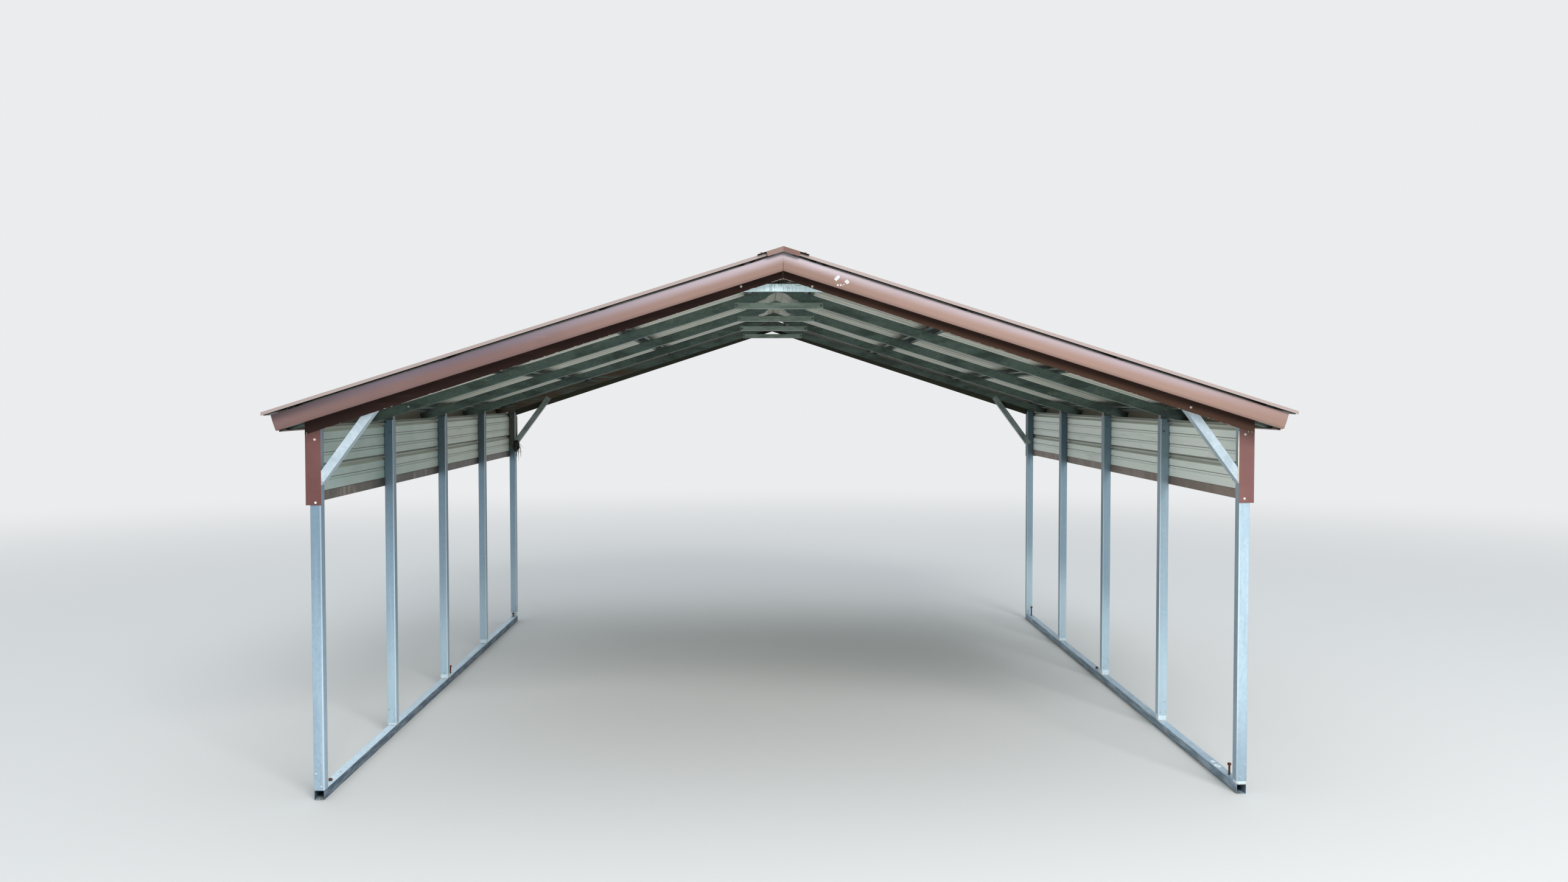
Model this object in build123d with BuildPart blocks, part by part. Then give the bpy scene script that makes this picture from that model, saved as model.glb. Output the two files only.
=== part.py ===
"""A metal carport on a frame of galvanised square tube, with a ribbed sheet roof.

Millimetres. X runs across the carport, Y from the front (minus) to the rear (plus), Z up.
The origin is on the ground, under the middle of the roof.
Along a roof slope, s is measured down the slope from the ridge and n square to it,
up from the underside of the bows.
"""

import os
from math import atan2, cos, pi, radians, sin, tan

from build123d import *

os.makedirs("parts", exist_ok=True)

# The frame
frame_width = 5486.0        # outside to outside of the legs
frame_length = 6096.0       # length of the base rails
bow_count = 5
tube = 63.5                 # outer side of every square tube
tube_wall = 2.0
tube_corner = 4.0           # outer corner radius of a tube
bow_chamfer = 1.5           # corner of a bow
eave_height = 2201.0        # underside of a bow, at the outer face of a leg
roof_pitch = radians(17.5)
fit_gap = 0.3               # clearance between pieces that seat on each other
leg_top_gap = 6.0           # from the top of a leg to the bow over it
bow_overhang = 132.0        # from the outer face of a leg to the end of a bow, down the slope
crimp_half = 98.0           # half width of the crimped arch under the ridge
crimp_rise = 15.0           # how far the arch rises over the plain corner

# How far each leg stands off its rail, from the front, to level the bows
leg_foot_gap = {"left": (0.0, 16.0, 35.0, 38.0, 43.0), "right": (19.0, 41.0, 45.0, 27.0, 0.0)}

# The smaller tube of the base rails and of the sleeves that join legs to rails and bows
inner_tube = 57.2
inner_tube_wall = 2.5
inner_tube_corner = 4.0
sleeve_chamfer = 2.0
sleeve_length = 150.0

# The braces, of bent channel that straddles the tubes
brace_wall = 1.9
peak_brace_length = 616.0
peak_brace_depth = 41.0
knee_brace_depth = 50.0
knee_drop = 359.0           # from the eave height down to the foot of a knee brace
knee_angle = radians(53.5)  # from the horizontal

# The roof channels, four on each slope
channel_height = 45.0
channel_width = 104.0
channel_crown = 36.0
channel_flange = 25.0
channel_wall = 1.2
channel_first = 180.0       # s of the channel beside the ridge
channel_from_end = 113.0    # from the last channel to the end of a bow
channel_count = 4

# The ribbed sheets
sheet_wall = 1.0
sheet_cover = 914.4
sheet_count = 7
ribs_per_sheet = 4
rib_height = 19.0
rib_base = 44.0
rib_crown = 14.0
small_rib_height = 3.0
small_rib_base = 22.0
small_rib_crown = 10.0
sheet_overhang = 55.0       # from the end of a bow to the edge of the roof, down the slope
ridge_clear = 22.0          # from the ridge to the top end of a sheet

# The ridge cap
cap_half = 113.0            # length of one side of the cap
cap_end_half = 60.0         # half width of the fold at each end of the cap
cap_end_drop = 27.0
cap_overhang = 8.0

# The trims
trim_wall = 1.0
rake_height = 95.0
rake_low = 4.0              # n of the lower edge
rake_bulge = 4.0
rake_bulge_steps = 12
rake_lip = 26.0
rake_set_back = 22.0        # from the edge of the roof sheets to the face of the trim
rake_past_bow = 8.0         # from the end of a bow to the end of the trim
eave_trim_low = -4.0        # n of the lower edge of an eave trim
bow_trim_top = 60.0         # n of the upper edge of the trim on an end bow
bow_trim_ridge_drop = 29.0  # below the underside of the bow, at the ridge
bow_trim_eave_drop = 58.0   # the same at the eave
corner_leg = 90.0
corner_drop = 23.0          # from the eave height down to the top of a corner trim
corner_length = 451.0

# The side panels
panel_drop = 13.0           # from the eave height down to the top of a side panel
panel_height = 450.0
hem_inner = 55.0            # how far the hem rises over the lower edge of the panel
hem_outer = 33.0

# The anchors, one near the front, the middle and the rear of each rail, some driven home and some not
anchor_radius = 6.35
anchor_head_radius = 13.0
anchor_head_height = 16.0
anchor_from_front = {"left": 197.0, "right": 197.0}
anchor_past_middle = {"left": 183.0, "right": 239.0}
anchor_from_rear = {"left": 95.0, "right": 165.0}
anchor_stand = {"left": (0.0, 50.0, 28.0), "right": (58.0, 0.0, 82.0)}
spare_hole_radius = 5.0
spare_hole_from_front = 388.0

# Worked out from the sizes above
slope_sin = sin(roof_pitch)
slope_cos = cos(roof_pitch)
leg_outer = frame_width / 2
leg_inner = leg_outer - tube
leg_x = leg_outer - tube / 2
bow_reach = leg_outer / slope_cos + bow_overhang
roof_reach = bow_reach + sheet_overhang
rake_reach = bow_reach + rake_past_bow
ridge_under = eave_height + leg_outer * tan(roof_pitch)
knee_foot_height = eave_height - knee_drop
corner_top = eave_height - corner_drop
panel_top = eave_height - panel_drop
bow_pitch = (frame_length - tube) / (bow_count - 1)
bow_y = [tube / 2 - frame_length / 2 + i * bow_pitch for i in range(bow_count)]
channel_top = tube + channel_height
channel_spacing = (bow_reach - channel_from_end - channel_first) / (channel_count - 1)
rib_pitch = sheet_cover / ribs_per_sheet
roof_length = sheet_count * sheet_cover + rib_base
rake_y = roof_length / 2 - rake_set_back
rib_web_angle = atan2(rib_height, (rib_base - rib_crown) / 2)
lap_rise = (sheet_wall + fit_gap) / cos(rib_web_angle)
sides = {"left": -1, "right": 1}
anchor_y = {
    name: (
        anchor_from_front[name] - frame_length / 2,
        anchor_past_middle[name],
        frame_length / 2 - anchor_from_rear[name],
    )
    for name in sides
}


def slope_xz(s, n):
    """X and Z of the point at s, n on the right-hand slope."""
    x = s * slope_cos + n * slope_sin
    z = ridge_under - s * slope_sin + n * slope_cos
    return x, z


def section_plane(y):
    """Upright plane across the carport at y, with X to the right and Z up."""
    return Plane(origin=(0, y, 0), x_dir=(1, 0, 0), z_dir=(0, -1, 0))


def slope_section(y):
    """Upright plane at y with its own x along the right-hand slope and its y square to it."""
    return Plane(origin=(0, y, ridge_under), x_dir=(slope_cos, 0, -slope_sin), z_dir=(0, -1, 0))


def slope_start(s):
    """Plane square to the right-hand slope at s, with its x along Y and its y along n."""
    x, z = slope_xz(s, 0)
    return Plane(origin=(x, 0, z), x_dir=(0, 1, 0), z_dir=(slope_cos, 0, -slope_sin))


def bent_sheet(points, wall):
    """Section of a sheet bent along the points, with its wall on their left."""
    with BuildSketch() as section:
        with BuildLine():
            Polyline(*points)
            offset(amount=wall, side=Side.LEFT, kind=Kind.INTERSECTION)
        make_face()
    return section.sketch


def finish(builder, name):
    """Name a finished piece and write it."""
    builder.part.label = name
    export_step(builder.part, f"parts/{name}.step")


# Base rails, open at both ends, with the holes that the anchors pass through and one to spare
inner_tube_inside = inner_tube - 2 * inner_tube_wall
for side_name, side in sides.items():
    with BuildPart() as rail:
        with BuildSketch(Plane.XZ.offset(-frame_length / 2)):
            with Locations((side * leg_x, inner_tube / 2)):
                RectangleRounded(inner_tube, inner_tube, inner_tube_corner)
                Rectangle(inner_tube_inside, inner_tube_inside, mode=Mode.SUBTRACT)
        extrude(amount=frame_length)
        with BuildSketch(Plane.XY):
            with Locations([(side * leg_x, y) for y in anchor_y[side_name]]):
                Circle(anchor_radius + fit_gap)
            with Locations((side * leg_x, spare_hole_from_front - frame_length / 2)):
                Circle(spare_hole_radius)
        extrude(amount=inner_tube, mode=Mode.SUBTRACT)
    finish(rail, f"{side_name}_base_rail")

# Legs, each slid over a sleeve on the rail and one under the bow
for side_name, side in sides.items():
    for number, (y, gap) in enumerate(zip(bow_y, leg_foot_gap[side_name]), start=1):
        foot = inner_tube + gap
        with BuildPart() as leg:
            with BuildSketch(Plane.XY.offset(foot)):
                with Locations((side * leg_x, y)):
                    RectangleRounded(tube, tube, tube_corner)
                    Rectangle(tube - 2 * tube_wall, tube - 2 * tube_wall, mode=Mode.SUBTRACT)
            extrude(amount=eave_height - leg_top_gap - foot)
        finish(leg, f"{side_name}_leg_{number}")

# Sleeves welded on the rails
sleeve_centres = [(side * leg_x, y) for side in sides.values() for y in bow_y]
with BuildPart() as rail_sleeves:
    with BuildSketch(Plane.XY.offset(inner_tube)) as rail_sleeve_section:
        with Locations(sleeve_centres):
            Rectangle(inner_tube, inner_tube)
        chamfer(rail_sleeve_section.vertices(), sleeve_chamfer)
        with Locations(sleeve_centres):
            Rectangle(inner_tube_inside, inner_tube_inside, mode=Mode.SUBTRACT)
    extrude(amount=sleeve_length)
finish(rail_sleeves, "rail_sleeves")

# Sleeves welded under the bows, their tops cut to the slope
with BuildPart() as bow_sleeves:
    with BuildSketch(Plane.XY.offset(eave_height - sleeve_length)) as bow_sleeve_section:
        with Locations(sleeve_centres):
            Rectangle(inner_tube, inner_tube)
        chamfer(bow_sleeve_section.vertices(), sleeve_chamfer)
        with Locations(sleeve_centres):
            Rectangle(inner_tube_inside, inner_tube_inside, mode=Mode.SUBTRACT)
    extrude(amount=sleeve_length + tube)
    with BuildSketch(section_plane(0)):
        with BuildLine():
            Polyline(
                (-leg_outer, eave_height),
                (0, ridge_under),
                (leg_outer, eave_height),
                (leg_outer, ridge_under + tube),
                (-leg_outer, ridge_under + tube),
                close=True,
            )
        make_face()
    extrude(amount=frame_length, both=True, mode=Mode.SUBTRACT)
finish(bow_sleeves, "bow_sleeves")


def bow_outline(low, high, reach):
    """Outline of a bow seen from the front, from low to high above its underside."""
    foot_x, foot_z = slope_xz(crimp_half, low)
    low_x, low_z = slope_xz(reach, low)
    high_x, high_z = slope_xz(reach, high)
    with BuildSketch() as outline:
        with BuildLine():
            ThreePointArc((-foot_x, foot_z), (0, ridge_under + crimp_rise + low), (foot_x, foot_z))
            Polyline(
                (foot_x, foot_z),
                (low_x, low_z),
                (high_x, high_z),
                (0, ridge_under + high / slope_cos),
                (-high_x, high_z),
                (-low_x, low_z),
                (-foot_x, foot_z),
            )
        make_face()
    return outline.sketch


# Bows, each one tube bent at the ridge, where its lower wall is crimped up into an arch
for number, y in enumerate(bow_y, start=1):
    with BuildPart() as bow:
        with BuildSketch(section_plane(y)):
            add(bow_outline(0, tube, bow_reach))
        extrude(amount=tube / 2, both=True)
        long_edges = [
            edge
            for edge in bow.edges()
            if abs(abs(edge.center().Y - y) - tube / 2) < fit_gap and edge.length > tube + fit_gap
        ]
        chamfer(long_edges, bow_chamfer)
        with BuildSketch(section_plane(y)):
            add(bow_outline(tube_wall, tube - tube_wall, bow_reach + tube))
        extrude(amount=tube / 2 - tube_wall, both=True, mode=Mode.SUBTRACT)
    finish(bow, f"bow_{number}")

# Peak braces, channels that straddle the bows just below the ridge
brace_inner = tube + 2 * fit_gap
brace_outer = brace_inner + 2 * brace_wall
peak_web_top = ridge_under - peak_brace_length / 2 * tan(roof_pitch) - fit_gap
for number, y in enumerate(bow_y, start=1):
    with BuildPart() as peak_brace:
        with BuildSketch(Plane.YZ):
            with Locations((y, peak_web_top - brace_wall)):
                Rectangle(brace_outer, peak_brace_depth, align=(Align.CENTER, Align.MIN))
            with Locations((y, peak_web_top)):
                Rectangle(brace_inner, peak_brace_depth, align=(Align.CENTER, Align.MIN), mode=Mode.SUBTRACT)
        extrude(amount=peak_brace_length / 2, both=True)
    finish(peak_brace, f"peak_brace_{number}")

# Knee braces in the four corners, channels cut square at both ends
knee_x = leg_inner - fit_gap
knee_rise_to_bow = (ridge_under - knee_foot_height) * slope_cos - knee_x * slope_sin
knee_length = (knee_rise_to_bow - fit_gap) / sin(knee_angle - roof_pitch)
knee_direction = (-cos(knee_angle), 0, sin(knee_angle))
knee_plane = Plane(origin=(knee_x, 0, knee_foot_height), x_dir=(0, 1, 0), z_dir=knee_direction)
for end_name, y in {"front": bow_y[0], "rear": bow_y[-1]}.items():
    with BuildPart() as knee_brace:
        with BuildSketch(knee_plane):
            with Locations((y, brace_wall)):
                Rectangle(brace_outer, knee_brace_depth, align=(Align.CENTER, Align.MAX))
            with Locations((y, 0)):
                Rectangle(brace_inner, knee_brace_depth, align=(Align.CENTER, Align.MAX), mode=Mode.SUBTRACT)
        extrude(amount=knee_length)
    finish(knee_brace, f"right_{end_name}_knee_brace")
    with BuildPart() as knee_mirrored:
        mirror(knee_brace.part, about=Plane.YZ)
    finish(knee_mirrored, f"left_{end_name}_knee_brace")

# Roof channels, laid front to back over the bows
def channel_points(s):
    """Points under one roof channel, which stands on its two flanges."""
    half = channel_width / 2
    crown_under = channel_top - channel_wall
    return [
        (s - half, tube),
        (s - half + channel_flange, tube),
        (s - channel_crown / 2, crown_under),
        (s + channel_crown / 2, crown_under),
        (s + half - channel_flange, tube),
        (s + half, tube),
    ]


with BuildPart() as roof_channels:
    for index in range(channel_count):
        s = channel_first + index * channel_spacing
        with BuildSketch(slope_section(0)):
            add(bent_sheet(channel_points(s), channel_wall))
        extrude(amount=rake_y - trim_wall - fit_gap, both=True)
finish(roof_channels, "right_roof_channels")
with BuildPart() as channels_mirrored:
    mirror(roof_channels.part, about=Plane.YZ)
finish(channels_mirrored, "left_roof_channels")


def sheet_points(start, first, last):
    """Points under one roof sheet, from its first rib to its last, which laps the next sheet."""
    base = channel_top + fit_gap
    web = (rib_base - rib_crown) / 2
    points = []
    if first:
        points.append((start - rib_base / 2, base))
    points.append((start - rib_crown / 2, base + rib_height))
    points.append((start + rib_crown / 2, base + rib_height))
    points.append((start + rib_base / 2, base))
    for rib in range(1, ribs_per_sheet + 1):
        for third in (1, 2):
            middle = start + (rib - 1 + third / 3) * rib_pitch
            points.append((middle - small_rib_base / 2, base))
            points.append((middle - small_rib_crown / 2, base + small_rib_height))
            points.append((middle + small_rib_crown / 2, base + small_rib_height))
            points.append((middle + small_rib_base / 2, base))
        middle = start + rib * rib_pitch
        lift = lap_rise if rib == ribs_per_sheet and not last else 0
        points.append((middle - rib_crown / 2 - web, base))
        points.append((middle - rib_crown / 2, base + rib_height + lift))
        points.append((middle + rib_crown / 2, base + rib_height + lift))
        points.append((middle + rib_crown / 2 + web, base + lift))
    return points


# Roof sheets, seven on each slope, ribs from the ridge to the eave
with BuildPart() as roof_sheets:
    for index in range(sheet_count):
        start = rib_base / 2 - roof_length / 2 + index * sheet_cover
        with BuildSketch(slope_start(ridge_clear)):
            add(bent_sheet(sheet_points(start, index == 0, index == sheet_count - 1), sheet_wall))
        extrude(amount=roof_reach - ridge_clear)
finish(roof_sheets, "right_roof_sheets")
with BuildPart() as sheets_mirrored:
    mirror(roof_sheets.part, about=Plane.YZ)
finish(sheets_mirrored, "left_roof_sheets")

# Ridge cap, on the crowns of the ribs, with a fold that hangs over each end
cap_under = channel_top + fit_gap + rib_height + lap_rise + sheet_wall / cos(rib_web_angle) + fit_gap
cap_length = roof_length + 2 * cap_overhang


def cap_line(under, reach):
    """Points along the cap from its left edge over the ridge to its right edge."""
    edge_x, edge_z = slope_xz(reach, under)
    ridge_z = ridge_under + under / slope_cos
    return [(edge_x, edge_z), (0, ridge_z), (-edge_x, edge_z)]


with BuildPart() as ridge_cap:
    with BuildSketch(section_plane(0)):
        add(bent_sheet(cap_line(cap_under, cap_half)[::-1], sheet_wall))
    extrude(amount=cap_length / 2, both=True)
    for end in (-1, 1):
        with BuildSketch(section_plane(end * cap_length / 2)):
            with BuildLine():
                Polyline(
                    *cap_line(cap_under + sheet_wall, cap_end_half),
                    *cap_line(cap_under - cap_end_drop, cap_end_half)[::-1],
                    close=True,
                )
            make_face()
        extrude(amount=-end * sheet_wall)
finish(ridge_cap, "ridge_cap")


def rake_section():
    """Section of the rake trim: a slightly bulged face with a lip turned in at its foot."""
    face_points = []
    for step in range(rake_bulge_steps + 1):
        along = step / rake_bulge_steps
        face_points.append((-rake_bulge * sin(pi * along), rake_low + rake_height * (1 - along)))
    with BuildSketch() as section:
        with BuildLine():
            Polyline(*face_points, (rake_lip, rake_low))
            offset(amount=trim_wall, side=Side.LEFT, kind=Kind.INTERSECTION)
        make_face()
    return section.sketch


# Rake trims, that close the ends of the roof channels at the front and the rear
for end_name, end in {"front": -1, "rear": 1}.items():
    with BuildPart() as rake_half:
        start_plane = slope_start(-rake_height)
        with BuildSketch(start_plane.shift_origin(start_plane.from_local_coords((-rake_y, 0, 0)))):
            add(rake_section())
        extrude(amount=rake_height + rake_reach)
        split(bisect_by=Plane.YZ.offset(fit_gap))
    with BuildPart() as rake_trim:
        add(rake_half.part)
        mirror(rake_half.part, about=Plane.YZ)
        if end > 0:
            mirror(about=Plane.XZ, mode=Mode.REPLACE)
    finish(rake_trim, f"{end_name}_rake_trim")

# Trims on the faces of the end bows, hung a little steeper than the bows
trim_face_y = frame_length / 2 + fit_gap + brace_wall + fit_gap
bow_trim_y = trim_face_y + trim_wall + fit_gap
corner_outer = leg_outer + 4 * fit_gap + 2 * sheet_wall + rib_height + trim_wall
for end_name, end in {"front": -1, "rear": 1}.items():
    with BuildPart() as bow_trim:
        with BuildSketch(section_plane(end * (bow_trim_y + trim_wall))):
            low_ridge = ridge_under - bow_trim_ridge_drop
            low_eave = ridge_under - corner_outer * tan(roof_pitch) - bow_trim_eave_drop
            high_ridge = ridge_under + bow_trim_top / slope_cos
            high_eave = high_ridge - corner_outer * tan(roof_pitch)
            for side in sides.values():
                with BuildLine():
                    Polyline(
                        (side * fit_gap, low_ridge),
                        (side * corner_outer, low_eave),
                        (side * corner_outer, high_eave),
                        (side * fit_gap, high_ridge),
                        close=True,
                    )
                make_face()
        extrude(amount=end * trim_wall)
    finish(bow_trim, f"{end_name}_bow_trim")

# Eave trims on the cut ends of the bows, with a lip turned in at the foot
eave_s = bow_reach + fit_gap
with BuildPart() as eave_trim:
    with BuildSketch(slope_section(0)):
        eave_points = [
            (eave_s, rake_low + rake_height),
            (eave_s, eave_trim_low),
            (eave_s - rake_lip, eave_trim_low),
        ]
        add(bent_sheet(eave_points, trim_wall))
    extrude(amount=rake_y - 2 * trim_wall - rake_lip, both=True)
finish(eave_trim, "right_eave_trim")
with BuildPart() as eave_mirrored:
    mirror(eave_trim.part, about=Plane.YZ)
finish(eave_mirrored, "left_eave_trim")

# Side panels, a half sheet laid level outside the legs, its ribs outward
panel_x = leg_outer + fit_gap + trim_wall + fit_gap
panel_low = panel_top - panel_height


def panel_points():
    """Points on the inner face of a side panel, from its lower edge up."""
    web = (rib_base - rib_crown) / 2
    top_rib = panel_top - rib_base / 2
    points = [(panel_x, panel_low)]
    for rib in (1, 0):
        middle = top_rib - rib * rib_pitch
        for third in (2, 1):
            small = middle - third * rib_pitch / 3
            points.append((panel_x, small - small_rib_base / 2))
            points.append((panel_x + small_rib_height, small - small_rib_crown / 2))
            points.append((panel_x + small_rib_height, small + small_rib_crown / 2))
            points.append((panel_x, small + small_rib_base / 2))
        points.append((panel_x, middle - rib_crown / 2 - web))
        points.append((panel_x + rib_height, middle - rib_crown / 2))
        points.append((panel_x + rib_height, middle + rib_crown / 2))
        points.append((panel_x, middle + rib_crown / 2 + web))
    return points


with BuildPart() as side_panel:
    with BuildSketch(section_plane(0)):
        add(bent_sheet(panel_points()[::-1], sheet_wall))
    extrude(amount=frame_length / 2, both=True)
finish(side_panel, "right_side_panel")
with BuildPart() as panel_mirrored:
    mirror(side_panel.part, about=Plane.YZ)
finish(panel_mirrored, "left_side_panel")

# Hem trims that hold the lower edges of the side panels
with BuildPart() as panel_hem:
    with BuildSketch(section_plane(0)):
        inner_x = panel_x - fit_gap
        outer_x = panel_x + sheet_wall + fit_gap
        hem_points = [
            (outer_x, panel_low + hem_outer),
            (outer_x, panel_low - fit_gap),
            (inner_x, panel_low - fit_gap),
            (inner_x, panel_low + hem_inner),
        ]
        add(bent_sheet(hem_points, trim_wall))
    extrude(amount=frame_length / 2, both=True)
finish(panel_hem, "right_panel_hem")
with BuildPart() as hem_mirrored:
    mirror(panel_hem.part, about=Plane.YZ)
finish(hem_mirrored, "left_panel_hem")

# Corner trims, folded round the ends of the side panels on to the faces of the end legs
for end_name, end in {"front": -1, "rear": 1}.items():
    with BuildPart() as corner_trim:
        with BuildSketch(Plane.XY.offset(corner_top - corner_length)):
            face_y = end * trim_face_y
            with BuildLine():
                Polyline(
                    (corner_outer - corner_leg, face_y),
                    (corner_outer - corner_leg, face_y + end * trim_wall),
                    (corner_outer, face_y + end * trim_wall),
                    (corner_outer, face_y - end * corner_leg),
                    (corner_outer - trim_wall, face_y - end * corner_leg),
                    (corner_outer - trim_wall, face_y),
                    close=True,
                )
            make_face()
        extrude(amount=corner_length)
    finish(corner_trim, f"right_{end_name}_corner_trim")
    with BuildPart() as corner_mirrored:
        mirror(corner_trim.part, about=Plane.YZ)
    finish(corner_mirrored, f"left_{end_name}_corner_trim")

# Ground anchors, rods driven through the rails, each with a nut on its head
with BuildPart() as ground_anchors:
    for side_name, side in sides.items():
        for y, stand in zip(anchor_y[side_name], anchor_stand[side_name]):
            top = inner_tube + stand
            with BuildSketch(Plane.XY):
                with Locations((side * leg_x, y)):
                    Circle(anchor_radius)
            extrude(amount=top)
            with BuildSketch(Plane.XY.offset(top)):
                with Locations((side * leg_x, y)):
                    RegularPolygon(anchor_head_radius, 6)
            extrude(amount=anchor_head_height)
finish(ground_anchors, "ground_anchors")
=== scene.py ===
"""The looks of a metal carport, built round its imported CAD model. Metres, Z up, front towards -Y."""

import bpy
import numpy as np
from mathutils import Matrix


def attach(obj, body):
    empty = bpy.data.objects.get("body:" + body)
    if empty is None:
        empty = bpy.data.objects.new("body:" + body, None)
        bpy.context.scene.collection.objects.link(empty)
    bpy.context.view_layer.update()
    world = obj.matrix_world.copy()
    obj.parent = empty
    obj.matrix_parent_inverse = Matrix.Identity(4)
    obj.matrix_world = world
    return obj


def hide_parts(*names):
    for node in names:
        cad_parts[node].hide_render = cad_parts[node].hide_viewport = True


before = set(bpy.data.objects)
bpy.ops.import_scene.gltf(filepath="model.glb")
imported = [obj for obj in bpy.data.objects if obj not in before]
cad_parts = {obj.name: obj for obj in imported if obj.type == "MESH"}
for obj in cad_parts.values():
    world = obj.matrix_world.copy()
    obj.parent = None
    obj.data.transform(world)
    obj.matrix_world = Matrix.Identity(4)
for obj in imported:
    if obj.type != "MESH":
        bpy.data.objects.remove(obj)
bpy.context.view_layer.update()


# The camera stands ten and a half metres in front of the carport's middle and a hand to its left,
# just above the height of the eaves, and looks two degrees down.
picture_width = 2576
focal_pixels = 2135.0
eye = np.array([-0.1413, -10.6151, 2.3527])
turn_right, look_down, lean = 0.01936, 0.0340, -0.0010
level = np.array([np.cos(turn_right), -np.sin(turn_right), 0.0])
onward = np.array([np.sin(turn_right), np.cos(turn_right), 0.0])
ahead = np.cos(look_down) * onward - np.sin(look_down) * np.array([0.0, 0.0, 1.0])
upward = np.cross(level, ahead)
across = np.cos(lean) * level + np.sin(lean) * upward
upright = np.cos(lean) * upward - np.sin(lean) * level
placed = np.eye(4)
placed[:3, :] = np.column_stack([across, upright, -ahead, eye])
lens = bpy.data.cameras.new("camera")
lens.sensor_fit = "HORIZONTAL"
lens.sensor_width = 36.0
lens.lens = 36.0 * focal_pixels / picture_width
lens.clip_end = 400.0
camera = bpy.data.objects.new("camera", lens)
bpy.context.scene.collection.objects.link(camera)
camera.matrix_world = Matrix(placed.tolist())
bpy.context.scene.camera = camera
bpy.context.scene.view_settings.view_transform = "Standard"


# The stage is a pale floor that rises far away into a round wall, so that no horizon shows.
# It is lit by an even sky, by one large soft lamp in front and above, and by one overhead.
def add_mesh(name, points, faces):
    """A mesh object at the origin with these points and faces, linked into the scene."""
    mesh = bpy.data.meshes.new(name)
    mesh.from_pydata(np.asarray(points, float).reshape(-1, 3).tolist(), [], faces)
    mesh.update()
    piece = bpy.data.objects.new(name, mesh)
    bpy.context.scene.collection.objects.link(piece)
    return piece


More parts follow.
